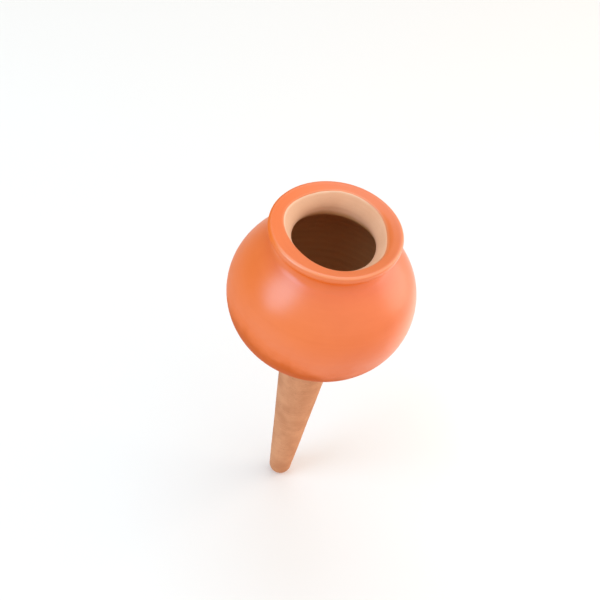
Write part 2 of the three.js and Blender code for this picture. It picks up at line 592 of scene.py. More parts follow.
@dataclass(frozen=True, kw_only=True)
class ReservoirClay(BareClay):
    """Clay of the globe: painted shade in the reservoir, painted light on its left and a painted highlight
    at the mouth.
    """

    name: str = "bare_terracotta"
    throat_height: float
    floor_height: float
    # painted shade inside the reservoir, under the throat and above its floor
    reservoir_shade: Colour = (0.580, 0.252, 0.088, 1.0)
    # painted highlight on the clay at the mouth's edge, also the colour of the painted light on the left
    edge: Colour = (0.960, 0.620, 0.400, 1.0)
    # wavy border of the painted shade under the throat
    reservoir_border: Cloud = Cloud(7 * MM)
    reservoir_border_wave: float = 2 * MM
    reservoir_border_fade: float = 5 * MM
    # painted highlight along the mouth's edge, left off on the right side
    near_edge: Rise = Rise(-1.5 * MM, 0.0)
    edge_side: Rise = Rise(20 * MM, 4 * MM)
    # painted light: the clay is paler on its left, where the funnel's wall faces the light
    painted_light_side: Rise = Rise(0.0, -24 * MM)
    painted_light_strength: float = 0.5

    def tint(self, at: TurnedPlace, colour: Socket) -> Socket:
        """Paints light on the left side, shade into the reservoir and a highlight on the mouth's edge.

        Args:
            at: places on the piece.
            colour: the dry clay's colour.

        Returns:
            The colour with the painted shade in the reservoir, the painted light on the left and the mouth's
            edge highlight.
        """
        bench = at.bench
        # painted light makes the clay paler on its left side
        colour = bench.mix(self.painted_light_strength * bench.ramp(at.side, self.painted_light_side), colour, self.edge)
        # painted shade in the reservoir, below a wavy border under the throat
        reservoir_border = at.height + self.reservoir_border_wave * (bench.cloud(at.place, self.reservoir_border) - NOISE_MIDDLE)
        below_throat = bench.ramp(reservoir_border, Rise(self.throat_height, self.throat_height - self.reservoir_border_fade))
        over_floor = bench.math("GREATER_THAN", at.height, self.floor_height)
        colour = bench.mix(below_throat * over_floor, colour, self.reservoir_shade)
        # painted highlight on the clay at the mouth's edge, left off on the right side
        pale = bench.ramp(bench.edge_run(), self.near_edge) * bench.ramp(at.side, self.edge_side)
        return bench.mix(pale, colour, self.edge)


@dataclass(frozen=True, kw_only=True)
class FiredSlip(Finish):
    """Slip that squeezed out of the joint and fired hard: lumpy, a little darker than the clay."""

    name: str = "fired_clay_slip"
    light: Colour = (0.600, 0.285, 0.155, 1.0)
    deep: Colour = (0.430, 0.180, 0.095, 1.0)
    lumps: Cloud = Cloud(1.8 * MM)
    lump_share: float = 0.6
    lump_depth: float = 0.25 * MM
    grain: Cloud = Cloud(0.3 * MM, roughness=0.6)
    grain_share: float = 0.4
    grain_depth: float = 0.03 * MM
    tone: Rise = Rise(0.35, 0.65)
    roughness: float = 0.80
    roughness_spread: float = 0.15
    gloss: float = 0.25

    def sockets(self, bench: NodeBench) -> dict[str, Any]:
        """Finds the values and links of the slip's shader.

        Args:
            bench: the node tree of the slip.

        Returns:
            The sockets, by name.
        """
        place = bench.place()
        lumps = bench.cloud(place, self.lumps)
        grain = bench.cloud(place, self.grain)
        tone = bench.ramp(self.lump_share * lumps + self.grain_share * grain, self.tone)
        return {
            "Base Color": bench.mix(tone, self.deep, self.light),
            "Roughness": self.roughness + self.roughness_spread * grain,
            "Normal": bench.bump(grain, self.grain_depth, bench.bump(lumps, self.lump_depth)),
            "Specular IOR Level": self.gloss,
        }


@dataclass(frozen=True, kw_only=True)
class PaleFloor(Finish):
    """Matt pale floor, white under the cool lights, which is seen a little brighter than it is lit."""

    name: str = "pale_studio_floor"
    colour: Colour = (0.85, 0.77, 0.70, 1.0)
    glow: Colour = (1.0, 1.0, 1.0, 1.0)
    dark: Colour = (0.0, 0.0, 0.0, 1.0)
    glow_strength: float = 0.05
    roughness: float = 1.0
    gloss: float = 0.0

    def sockets(self, bench: NodeBench) -> dict[str, Any]:
        """Finds the values and links of the floor's shader.

        Args:
            bench: the node tree of the floor.

        Returns:
            The sockets, by name.
        """
        return {
            "Base Color": self.colour,
            "Roughness": self.roughness,
            "Specular IOR Level": self.gloss,
            "Emission Color": bench.mix(bench.seen_ray(), self.dark, self.glow),
            "Emission Strength": self.glow_strength,
        }


def heading(angle: float) -> Vector:
    """Unit direction of an angle in a half section."""
    return Vector((math.cos(angle), math.sin(angle)))


@dataclass(frozen=True)
class Ellipse:
    """Half section of a spheroid about a centre on the axis."""

    radius: float
    half_height: float
    centre_height: float

    def point(self, angle: float) -> Vector:
        """Point of the ellipse at one of its angles."""
        height = self.centre_height + self.half_height * math.sin(angle)
        return Vector((self.radius * math.cos(angle), height))

    def normal(self, angle: float) -> Vector:
        """Unit normal of the ellipse at one of its angles."""
        return Vector((math.cos(angle) / self.radius, math.sin(angle) / self.half_height)).normalized()

    def angle_at(self, radius: float) -> float:
        """Angle, above the centre, at a distance from the axis."""
        return math.acos(radius / self.radius)

    def inset(self, depth: float) -> "Ellipse":
        """Ellipse that lies a depth inside this one."""
        return Ellipse(self.radius - depth, self.half_height - depth, self.centre_height)

    def fillet_angle(self, wall_radius: float, fillet: float) -> float:
        """Finds where a fillet leaves the ellipse for an upright wall.

        Args:
            wall_radius: radius of the wall that rises from the ellipse.
            fillet: radius of the fillet between them.

        Returns:
            The angle of the ellipse, above its centre.
        """
        low, high = 0.0, QUARTER_TURN
        while high - low > SEARCH_LIMIT:
            middle = (low + high) / 2
            if self.point(middle).x + fillet * self.normal(middle).x > wall_radius + fillet:
                low = middle
            else:
                high = middle
        return low


class Profile:
    """Half section of a turned piece: points of radius and height that lie about a pitch apart."""

    def __init__(self, pitch: float, start: Vector) -> None:
        """Starts a section at a point."""
        self.pitch = pitch
        self.points = [start]

    def line(self, end: Vector) -> None:
        """Goes straight on to a point.

        Args:
            end: the point to reach.
        """
        start = self.points[-1]
        steps = max(1, round((end - start).length / self.pitch))
        self.points += [start.lerp(end, step / steps) for step in range(1, steps + 1)]

    def bend(self, control: Vector, end: Vector) -> None:
        """Goes on in a curve that starts towards a control point and ends coming from it.

        Args:
            control: the corner that the curve rounds off.
            end: the point to reach.
        """
        start = self.points[-1]
        steps = max(CURVE_STEPS, round(((control - start).length + (end - control).length) / self.pitch))
        for step in range(1, steps + 1):
            share = step / steps
            self.points.append(start.lerp(control, share).lerp(control.lerp(end, share), share))

    def sweep(self, shape: Ellipse, start: float, end: float) -> None:
        """Goes straight to an ellipse and on along it.

        Args:
            shape: the ellipse to follow.
            start: its angle where the section joins it.
            end: its angle where the section leaves it.
        """
        self.line(shape.point(start))
        steps = max(CURVE_STEPS, round(abs(end - start) * shape.radius / self.pitch))
        self.points += [shape.point(start + (end - start) * step / steps) for step in range(1, steps + 1)]

    def round(self, centre: Vector, radius: float, start: float, end: float) -> None:
        """Goes straight to a circular arc and on along it.

        Args:
            centre: centre of the arc.
            radius: radius of the arc.
            start: its angle where the section joins it.
            end: its angle where the section leaves it.
        """
        self.line(centre + radius * heading(start))
        steps = max(ROUND_STEPS, round(abs(end - start) * radius / self.pitch))
        for step in range(1, steps + 1):
            self.points.append(centre + radius * heading(start + (end - start) * step / steps))

    def turn(self, steps: int, closed: bool) -> bmesh.types.BMesh:
        """Turns the section about the axis.

        Args:
            steps: number of steps in a full turn.
            closed: whether the section closes on itself, or else on the axis.

        Returns:
            The turned mesh, closed and facing out.
        """
        mesh = bmesh.new()
        ring = [mesh.verts.new((place.x, 0.0, place.y)) for place in self.points]
        ends = zip(ring, ring[1:] + ring[:1]) if closed else zip(ring, ring[1:])
        edges = [mesh.edges.new(pair) for pair in ends]
        bmesh.ops.spin(mesh, geom=ring + edges, axis=AXIS, cent=Vector(), angle=math.tau, steps=steps,
                       use_merge=True)
        bmesh.ops.remove_doubles(mesh, verts=mesh.verts, dist=SAME_PLACE)
        bmesh.ops.recalc_face_normals(mesh, faces=mesh.faces)
        return mesh


@dataclass(frozen=True)
class GlobeForm:
    """Sizes that the clay and the paint of the globe share, measured over the paint."""

    radius: float
    half_height: float = 43.3 * MM
    wall: float = 5.5 * MM
    neck_radius: float = 29.8 * MM
    neck_length: float = 3.1 * MM
    neck_fillet: float = 6 * MM
    neck_wall: float = 6.7 * MM
    lip_overhang: float = 4.6 * MM
    lip_undercut: float = 2.5 * MM
    lip_foot_round: float = 1.5 * MM
    lip_cheek: float = 1.7 * MM
    lip_round: float = 1.4 * MM
    lip_top_width: float = 4.4 * MM
    lip_top_drop: float = 1.5 * MM
    mouth_round: float = 1.4 * MM
    funnel_bend: float = 3.1 * MM
    throat_nose: float = 4.3 * MM
    throat_blend: float = 5 * MM
    collar_length: float = 7.3 * MM
    collar_fillet: float = 4 * MM
    collar_radius: float = 19.25 * MM
    paint: float = 0.4 * MM
    clay_depth: float = 0.45 * MM

    @cached_property
    def globe(self) -> Ellipse:
        """Finds the outside of the globe, which meets the collar in its fillet.

        Returns:
            The globe's half section.
        """
        resting = Ellipse(self.radius, self.half_height, 0.0)
        angle = resting.fillet_angle(self.collar_radius, self.collar_fillet)
        centre = (resting.point(angle) + self.collar_fillet * resting.normal(angle)).y
        return Ellipse(self.radius, self.half_height, self.collar_length + centre)

    @cached_property
    def reservoir(self) -> Ellipse:
        """Inside of the globe."""
        return self.globe.inset(self.wall)

    @cached_property
    def hollow_centre(self) -> Vector:
        """Finds the small hollow under the lip, over the neck's fillet and its straight part.

        Returns:
            The centre of the hollow.
        """
        angle = self.globe.fillet_angle(self.neck_radius, self.neck_fillet)
        corner = self.globe.point(angle) + self.neck_fillet * self.globe.normal(angle)
        return Vector((self.neck_radius + self.lip_undercut, corner.y + self.neck_length))

    @cached_property
    def foot_centre(self) -> Vector:
        """Finds the round at the lip's underside, which touches the hollow under it.

        Returns:
            The centre of the round.
        """
        radius = self.neck_radius + self.lip_overhang - self.lip_foot_round
        across = radius - self.hollow_centre.x
        reach = self.lip_foot_round + self.lip_undercut
        return Vector((radius, self.hollow_centre.y + math.sqrt(reach ** 2 - across ** 2)))

    @cached_property
    def roll_centre(self) -> Vector:
        """Centre of the round over the lip's cheek."""
        radius = self.neck_radius + self.lip_overhang - self.lip_round
        return Vector((radius, self.foot_centre.y + self.lip_cheek))

    @cached_property
    def roll_angle(self) -> float:
        """Direction in which the lip's top faces, from the round over the cheek to the mouth's edge."""
        return tangent_angle(self.roll_centre, self.lip_round, self.mouth_centre, self.mouth_round)

    @cached_property
    def mouth_centre(self) -> Vector:
        """Centre of the round at the mouth's edge."""
        return self.roll_centre - Vector((self.lip_top_width, self.lip_top_drop))

    @cached_property
    def mouth_angle(self) -> float:
        """Direction in which the mouth's edge faces, where the funnel starts."""
        return tangent_angle(self.mouth_centre, self.mouth_round, self.funnel_corner)

    @cached_property
    def mouth(self) -> Vector:
        """Inner edge of the painted lip."""
        return self.mouth_centre + self.mouth_round * heading(self.mouth_angle)

    @cached_property
    def funnel_corner(self) -> Vector:
        """Corner that the funnel rounds off on its way to the throat."""
        return self.throat + Vector((0.0, self.funnel_bend))

    @cached_property
    def throat_ceiling(self) -> Vector:
        """Corner where the throat would meet the reservoir's ceiling."""
        return self.reservoir.point(self.reservoir.angle_at(self.neck_radius - self.neck_wall))

    @cached_property
    def throat(self) -> Vector:
        """Narrowest place of the mouth."""
        return self.throat_ceiling + Vector((0.0, self.throat_nose))

    def outside(self, section: Profile, depth: float) -> None:
        """Draws the outside of the globe: up from the collar, over the lip, to where the lip slopes in.

        Args:
            section: the section that goes on along it.
            depth: how deep under the surface of the paint it lies.
        """
        shape = self.globe.inset(depth)
        low_round = self.collar_fillet + depth
        low = shape.fillet_angle(self.collar_radius - depth, low_round)
        low_centre = shape.point(-low) + low_round * shape.normal(-low)
        high_round = self.neck_fillet + depth
        high = shape.fillet_angle(self.neck_radius - depth, high_round)
        high_centre = shape.point(high) + high_round * shape.normal(high)
        low_normal = shape.normal(low).angle_signed(ACROSS)
        high_normal = shape.normal(high).angle_signed(ACROSS)
        under_lip = self.foot_centre - self.hollow_centre
        hollow = math.atan2(under_lip.y, under_lip.x)
        section.round(low_centre, low_round, HALF_TURN, HALF_TURN - low_normal)
        section.sweep(shape, -low, high)
        section.round(high_centre, high_round, HALF_TURN + high_normal, HALF_TURN)
        section.round(self.hollow_centre, self.lip_undercut + depth, HALF_TURN, hollow)
        section.round(self.foot_centre, self.lip_foot_round - depth, hollow - HALF_TURN, 0.0)
        section.round(self.roll_centre, self.lip_round - depth, 0.0, self.roll_angle)
        section.round(self.mouth_centre, self.mouth_round - depth, self.roll_angle, self.mouth_angle)

    def lip_run(self, place: Vector) -> tuple[float, float]:
        """Measures a place of the section along the surface at the mouth's edge.

        Args:
            place: radius and height of the place.

        Returns:
            How far it lies before the edge, as the paint comes up to it, and how deep under the surface.
        """
        away = place - self.mouth_centre
        turn = math.atan2(away.y, away.x) % math.tau
        angle = min(max(turn, self.roll_angle), self.mouth_angle)
        beyond = away.dot(heading(angle - QUARTER_TURN))
        run = (self.mouth_angle - angle) * self.mouth_round + beyond
        return run, self.mouth_round - away.dot(heading(angle))

    def lip_place(self, run: float, depth: float) -> Vector:
        """Finds the place of the section that lies so far before the mouth's edge and so deep.

        Args:
            run: distance before the edge along the surface.
            depth: depth under the surface.

        Returns:
            Radius and height of the place.
        """
        arc = (self.mouth_angle - self.roll_angle) * self.mouth_round
        on_round = min(max(run, 0.0), arc)
        angle = self.mouth_angle - on_round / self.mouth_round
        place = self.mouth_centre + (self.mouth_round - depth) * heading(angle)
        return place + (run - on_round) * heading(angle - QUARTER_TURN)


def tangent_angle(centre: Vector, radius: float, other: Vector, other_radius: float = 0.0) -> float:
    """Finds where a straight line to a point or to another circle leaves a circle, on the clockwise side.

    Args:
        centre: centre of the circle.
        radius: radius of the circle.
        other: the point, or the centre of the other circle.
        other_radius: radius of the other circle.

    Returns:
        The angle on the circle, between 0 and a full turn less.
    """
    away = other - centre
    angle = math.atan2(away.y, away.x) % math.tau
    return angle - math.acos((radius - other_radius) / away.length)


def outward(place: Vector) -> Vector:
    """Unit direction away from the axis at a place."""
    return Vector((place.x, place.y, 0.0)).normalized()


def share_of(value: float, start: float, end: float) -> float:
    """How far a value lies on the way from a start to an end, from 0 to 1."""
    return min(1.0, max(0.0, (value - start) / (end - start)))


def smooth_share(value: float, start: float, end: float) -> float:
    """How far a value lies on the way from a start to an end, easing in and out."""
    share = share_of(value, start, end)
    return share * share * (3.0 - 2.0 * share)


@dataclass(frozen=True)
class Lobe:
    """Something that swells to an amount at an angle about the axis, and is gone a width away from it."""

    angle: float
    width: float
    amount: float

    def at(self, angle: float) -> float:
        """How much there is at an angle."""
        away = abs((angle - self.angle + HALF_TURN) % math.tau - HALF_TURN)
        return self.amount * smooth_share(away, self.width, 0.0)


@dataclass(frozen=True)
class HandTurning:
    """What hands leave on the clay and the paint over it: slight waves, and a mouth not quite round."""

    form: GlobeForm
    wave_size: float = 38 * MM
    wave_depth: float = 0.28 * MM
    edge_lean: tuple[float, float] = (0.4 * MM, 0.5 * MM)
    throat_lean: tuple[float, float] = (0.05 * MM, 2.3 * MM)
    throat_pinch: float = 1.2 * MM
    swell: Lobe = Lobe(math.radians(-137.0), math.radians(62.0), 2.2 * MM)
    lean_fade: float = 9 * MM
    outer_skin: float = 1.675 * MM

    def wave(self, place: Vector) -> Vector:
        """How far the wall stands out at a place."""
        return outward(place) * (self.wave_depth * noise.noise(place / self.wave_size))

    def lean(self, place: Vector) -> Vector:
        """Finds how far the mouth lies off its round, one way at its edge and another at the throat.

        Args:
            place: a place on the wall.

        Returns:
            The shift of that place, which is none outside the neck and fades out at crest and ceiling.
        """
        form = self.form
        away = outward(place)
        radius = place.dot(away)
        if place.z < form.foot_centre.y and radius > form.neck_radius - self.outer_skin:
            return Vector()
        inside = smooth_share(radius, form.roll_centre.x, form.mouth.x)
        depth = share_of(place.z, form.mouth.y, form.throat.y)
        above = smooth_share(place.z, form.throat.y - self.lean_fade, form.throat.y)
        edge = Vector(self.edge_lean).to_3d() - self.swell.at(math.atan2(away.y, away.x)) * away
        throat = Vector(self.throat_lean).to_3d() - self.throat_pinch * away.x ** 2 * away
        return inside * above * edge.lerp(throat, depth)


@dataclass(frozen=True)
class MouthEdge:
    """Edge of the paint at the mouth, which was wiped back over the lip in places and ran in elsewhere."""

    form: GlobeForm
    run_in: float = 0.3 * MM
    far_wipe: Lobe = Lobe(math.radians(90.0), math.radians(55.0), 1.55 * MM)
    left_wipe: Lobe = Lobe(math.radians(163.0), math.radians(55.0), 1.0 * MM)
    right_run: Lobe = Lobe(math.radians(8.0), math.radians(45.0), -2.0 * MM)
    waver_size: float = 3.5 * MM
    waver: float = 0.12 * MM
    fade: float = 5 * MM

    def drawn_back(self, angle: float) -> float:
        """Finds how far the paint ends before the mouth's edge.

        Args:
            angle: angle about the axis.

        Returns:
            The distance along the surface, negative where the paint runs in.
        """
        lobes = self.far_wipe.at(angle) + self.left_wipe.at(angle) + self.right_run.at(angle)
        rim = self.form.mouth.x * Vector((math.cos(angle), math.sin(angle), 0.0))
        return lobes - self.run_in + self.waver * noise.noise(rim / self.waver_size)

    def shift(self, mesh: bmesh.types.BMesh, elsewhere: float) -> None:
        """Slides the edge along the surface, and notes on each corner how far from it the corner lies.

        Args:
            mesh: a turned piece that ends or is bared at the edge.
            elsewhere: the distance to note on corners away from the lip.
        """
        note = mesh.verts.layers.float.new(EDGE_RUN)
        for corner in mesh.verts:
            away = outward(corner.co)
            run, depth = self.form.lip_run(Vector((corner.co.dot(away), corner.co.z)))
            near = abs(depth) < self.form.mouth_round
            corner[note] = run if near else elsewhere
            if near and abs(run) < self.fade:
                back = self.drawn_back(math.atan2(away.y, away.x)) * (1.0 - abs(run) / self.fade)
                place = self.form.lip_place(run + back, depth)
                corner.co = place.x * away + place.y * AXIS


@dataclass
class TurnedPiece(ABC):
    """A piece turned about the axis that stands for a node of the frame."""

    name: str
    node: str
    slot: str
    steps: int
    pitch: float

    @abstractmethod
    def shape(self) -> bmesh.types.BMesh:
        """Makes the piece's mesh."""

    @abstractmethod
    def finish(self) -> Finish:
        """Chooses the piece's finish."""

    def build(self) -> bpy.types.Object:
        """Models the piece and puts it into the scene.

        Returns:
            The piece, smooth but for its sharp edges.
        """
        turned = self.shape()
        mesh = bpy.data.meshes.new(self.name)
        turned.to_mesh(mesh)
        turned.free()
        mesh.shade_smooth()
        mesh.set_sharp_from_angle(angle=SHARP_EDGE)
        piece = bpy.data.objects.new(self.name, mesh)
        bpy.context.scene.collection.objects.link(piece)
        return piece

    def dress(self, piece: bpy.types.Object) -> None:
        """Gives the piece its finish and its place in the frame.

        Args:
            piece: the piece as built.
        """
        piece.data.materials.append(self.finish().material())
        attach(piece, "root")
        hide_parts(self.node)


@dataclass
class SealingCoat(TurnedPiece):
    """Skin of paint over the globe, from its hem on the collar to the edge of the mouth."""

    form: GlobeForm
    hem: float
    hem_wave: float = 0.55 * MM
    hem_wave_size: float = 9 * MM
    hem_fade: float = 2.5 * MM
    # where on the lip's round the painted crest highlight line is centred
    crest_highlight_angle: float = math.radians(56.0)

    def shape(self) -> bmesh.types.BMesh:
        """Turns the skin, with rounded edges at the mouth and at the hem.

        Returns:
            The skin's mesh.
        """
        form = self.form
        bead = form.paint / 2
        mouth_centre = form.mouth - bead * heading(form.mouth_angle)
        hem_centre = Vector((form.collar_radius - bead, self.hem + bead))
        skin = Profile(self.pitch, hem_centre + bead * heading(-HALF_TURN))
        skin.round(hem_centre, bead, -HALF_TURN, 0.0)
        form.outside(skin, 0.0)
        skin.round(mouth_centre, bead, form.mouth_angle, form.mouth_angle + HALF_TURN)
        inner = Profile(self.pitch, skin.points[0])
        form.outside(inner, form.paint)
        skin.points += inner.points[:0:-1]
        mesh = skin.turn(self.steps, closed=True)
        self._uneven(mesh)
        return mesh

    def _uneven(self, mesh: bmesh.types.BMesh) -> None:
        """Lets the skin follow the uneven clay, and waves its hem as a brush leaves it.

        Args:
            mesh: the turned skin.
        """
        turning = HandTurning(self.form)
        MouthEdge(self.form).shift(mesh, self.form.radius)
        for corner in mesh.verts:
            place = corner.co.copy()
            fade = share_of(place.z, self.hem + self.hem_fade, self.hem)
            wave = noise.noise(outward(place) * self.form.collar_radius / self.hem_wave_size)
            corner.co += turning.wave(place) + turning.lean(place)
            corner.co.z += fade * self.hem_wave * wave

    def finish(self) -> Finish:
        """Chooses satin orange paint.

        Returns:
            The paint, with the places of the lip.
        """
        form = self.form
        # circle on the lip's round along which the highlight line is painted
        crest = form.roll_centre + form.lip_round * heading(self.crest_highlight_angle)
        cheek = form.roll_centre + Vector((form.lip_round, -form.lip_cheek / 2))
        return SatinPaint(crest=crest, cheek=cheek, hollow=form.hollow_centre)


@dataclass
class GlobeShell(TurnedPiece):
    """Terracotta reservoir with its lip, its mouth, its collar and the socket for the spike."""

    form: GlobeForm
    spigot_radius: float
    bore_radius: float
    socket_top: float
    socket_gap: float = 0.3 * MM
    recess_radius: float = 14.8 * MM
    recess: float = 1.2 * MM
    collar_edge: float = 0.8 * MM
    mouth_edge: float = 0.5 * MM
    edge_depth: float = 0.08 * MM
    edge_round: float = 0.25 * MM
    ring_pitch: float = 4.2 * MM
    ring_depth: float = 0.10 * MM
    ring_drift: float = 2.0

    def shape(self) -> bmesh.types.BMesh:
        """Turns the reservoir, with the rings that fingers leave inside it.

        Returns:
            The reservoir's mesh.
        """
        form = self.form
        socket_radius = self.spigot_radius + self.socket_gap
        reservoir = form.reservoir
        clay_collar = form.collar_radius - form.clay_depth
        edge_centre = Vector((clay_collar - self.collar_edge, self.collar_edge))
        down_funnel = heading(form.mouth_angle + QUARTER_TURN)
        edge = form.mouth + self.mouth_edge * down_funnel - self.edge_depth * heading(form.mouth_angle)
        ceiling = reservoir.angle_at(form.throat.x + form.throat_blend)
        outlet = reservoir.angle_at(self.bore_radius)
        wall = Profile(self.pitch, Vector((self.recess_radius, 0.0)))
        wall.round(edge_centre, self.collar_edge, -QUARTER_TURN, 0.0)
        form.outside(wall, form.clay_depth)
        wall.bend(edge - self.edge_round * down_funnel, edge)
        wall.bend(form.funnel_corner, form.throat)
        wall.bend(form.throat_ceiling, reservoir.point(ceiling))
        wall.sweep(reservoir, ceiling, -outlet)
        wall.line(Vector((self.bore_radius, self.socket_top)))
        wall.line(Vector((socket_radius, self.socket_top)))
        wall.line(Vector((socket_radius, self.recess)))
        wall.line(Vector((self.recess_radius, self.recess)))
        wall.line(Vector((self.recess_radius, self.pitch)))
        mesh = wall.turn(self.steps, closed=True)
        self._uneven(mesh)
        return mesh

    def _uneven(self, mesh: bmesh.types.BMesh) -> None:
        """Gives the wall its unevenness, and the inside its finger rings.

        Args:
            mesh: the turned wall.
        """
        MouthEdge(self.form).shift(mesh, -self.form.radius)
        mesh.normal_update()
        turning = HandTurning(self.form)
        floor = self.form.reservoir.point(-QUARTER_TURN).y
        for corner in mesh.verts:
            place = corner.co.copy()
            radius = math.hypot(place.x, place.y)
            if floor < place.z < self.form.throat.y and corner.normal.dot(outward(place)) < 0.0:
                drift = noise.noise(place / turning.wave_size)
                turns = (place.z + HOOP_SLANT * radius) / self.ring_pitch
                ring = math.sin(math.tau * turns + self.ring_drift * drift)
                fade = share_of(place.z, self.form.throat.y, self.form.throat.y - self.ring_pitch)
                corner.co += corner.normal * (fade * self.ring_depth * ring)
            elif place.z > self.recess and corner.normal.dot(outward(place)) > 0.0:
                corner.co += turning.wave(place)
            corner.co += turning.lean(place)

    def finish(self) -> Finish:
        """Chooses bare clay with painted shade inside."""
        floor = self.form.reservoir.point(-QUARTER_TURN)
        return ReservoirClay(throat_height=self.form.throat.y, floor_height=floor.y)


@dataclass
class Spike(TurnedPiece):
    """Porous cone with a blind bore, a shoulder let into the collar and a spigot in the socket."""

    shoulder_radius: float
    spigot_radius: float
    spigot_top: float
    tip: float
    tip_radius: float = 6.5 * MM
    wall: float = 4 * MM
    tip_thickness: float = 9 * MM
    recess: float = 1.2 * MM
    shoulder_edge: float = 0.6 * MM
    line_pitch: float = 1.9 * MM
    line_depth: float = 0.07 * MM
    line_drift: float = 2.0
    wave_size: float = 26 * MM
    wave_depth: float = 0.16 * MM

    def shape(self) -> bmesh.types.BMesh:
        """Turns the spike, from its tip up to the spigot and down into the bore.

        Returns:
            The spike's mesh.
        """
        head = Vector((self.shoulder_radius, self.recess - self.shoulder_edge))
        edge_centre = Vector((self.shoulder_radius - self.shoulder_edge, head.y))
        tip_centre = Vector((0.0, self.tip + self.tip_radius))
        bore_end = self.tip_radius - self.wall
        bore_centre = Vector((0.0, self.tip + self.tip_thickness + bore_end))
        bore_rim = Vector((self.spigot_radius - self.wall, self.spigot_top))
        touch = tangent_angle(tip_centre, self.tip_radius, head)
        bore_touch = tangent_angle(bore_centre, bore_end, bore_rim)
        cone = Profile(self.pitch, Vector((0.0, self.tip)))
        cone.round(tip_centre, self.tip_radius, -QUARTER_TURN, touch)
        cone.round(edge_centre, self.shoulder_edge, 0.0, QUARTER_TURN)
        cone.line(Vector((self.spigot_radius, self.recess)))
        cone.line(Vector((self.spigot_radius, self.spigot_top)))
        cone.line(bore_rim)
        cone.round(bore_centre, bore_end, bore_touch, -QUARTER_TURN)
        mesh = cone.turn(self.steps, closed=False)
        self._uneven(mesh)
        return mesh

    def _uneven(self, mesh: bmesh.types.BMesh) -> None:
        """Gives the cone the fine lines and the unevenness of turning, which fade out at the shoulder.

        Args:
            mesh: the turned cone.
        """
        for corner in mesh.verts:
            place = corner.co.copy()
            fade = share_of(place.z, 0.0, -self.line_pitch)
            drift = noise.noise(place / self.wave_size)
            line = math.sin(math.tau * place.z / self.line_pitch + self.line_drift * drift)
            corner.co += outward(place) * fade * (self.line_depth * line + self.wave_depth * drift)

    def finish(self) -> Finish:
        """Chooses porous clay, open and dry.

        Returns:
            The clay, redder and coarser than that of the globe.
        """
        return BareClay(
            name="porous_terracotta_clay",
            light=(0.710, 0.318, 0.158, 1.0),
            deep=(0.540, 0.212, 0.096, 1.0),
            grog=(0.360, 0.135, 0.065, 1.0),
            patches=Cloud(11 * MM, detail=3.0),
            specks=Dots(2.6 * MM, 0.42 * MM, share=0.35),
            pores=Dots(1.3 * MM, 0.26 * MM, share=0.4),
        )


@dataclass
class LutingBed(TurnedPiece):
    """Ring of slip between the end of the spigot and the top of the socket."""

    inner_radius: float
    outer_radius: float
    low: float
    high: float
    bulge: float = 0.35 * MM
    lump_size: float = 2.5 * MM
    lump_depth: float = 0.10 * MM

    def shape(self) -> bmesh.types.BMesh:
        """Turns the ring, with the bead that squeezed out into the outlet.

        Returns:
            The ring's mesh.
        """
        start = Vector((self.inner_radius, self.low))
        bead = Vector((self.inner_radius - 2 * self.bulge, (self.low + self.high) / 2))
        ring = Profile(self.pitch, start)
        ring.line(Vector((self.outer_radius, self.low)))
        ring.line(Vector((self.outer_radius, self.high)))
        ring.line(Vector((self.inner_radius, self.high)))
        ring.bend(bead, start)
        ring.points.pop()
        mesh = ring.turn(self.steps, closed=True)
        for corner in mesh.verts:
            place = corner.co.copy()
            if math.hypot(place.x, place.y) < self.inner_radius:
                lump = self.lump_depth * (noise.noise(place / self.lump_size) - 1.0)
                corner.co += outward(place) * lump
        return mesh

    def finish(self) -> Finish:
        """Chooses fired slip."""
        return FiredSlip()


@dataclass
class Floor:
    """Pale floor under the tip of the spike."""

    height: float
    size: float = 8.0
    right_side: float = 0.27
    right_back: float = 0.13

    @property
    def right(self) -> Vector:
        """Place to the right and behind, out of the picture, that the globe reflects."""
        return Vector((self.right_side, self.right_back, self.height))

    def build(self) -> None:
        """Makes the floor, which is no part of the object."""
        sheet = bmesh.new()
        bmesh.ops.create_grid(sheet, x_segments=1, y_segments=1, size=self.size)
        bmesh.ops.translate(sheet, verts=sheet.verts, vec=(0.0, 0.0, self.height))
        mesh = bpy.data.meshes.new("studio_floor")
        sheet.to_mesh(mesh)
        sheet.free()
        mesh.materials.append(PaleFloor().material())
        floor = bpy.data.objects.new("studio_floor", mesh)
        bpy.context.scene.collection.objects.link(floor)
        floor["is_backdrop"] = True


class Tint(Enum):
    """Colours of the lights."""

    WARM = (1.0, 0.97, 0.93)
    COOL = (0.42, 0.73, 1.0)


@dataclass(frozen=True)
class SoftBox:
    """Oval soft light that faces a target. The azimuth runs from the front round to the right."""

    name: str
    azimuth: float
    elevation: float
    distance: float
    width: float
    height: float
    brightness: float
    tint: Tint

    def build(self, target: Vector) -> None:
        """Puts the light into the scene.

        Args:
            target: the place that the light faces.
        """
        lamp = bpy.data.lights.new(self.name, "AREA")
        lamp.shape = "ELLIPSE"
        lamp.size = self.width
        lamp.size_y = self.height
        area = math.pi * self.width * self.height / 4
        lamp.energy = self.brightness * math.pi * area
        lamp.color = self.tint.value
        light = bpy.data.objects.new(self.name, lamp)
        bpy.context.scene.collection.objects.link(light)
        turn = math.radians(self.azimuth)
        rise = math.radians(self.elevation)
        away = Vector((math.sin(turn) * math.cos(rise), -math.cos(turn) * math.cos(rise), math.sin(rise)))
        light.rotation_euler = away.to_track_quat("Z", "Y").to_euler()
        light.location = target + self.distance * away


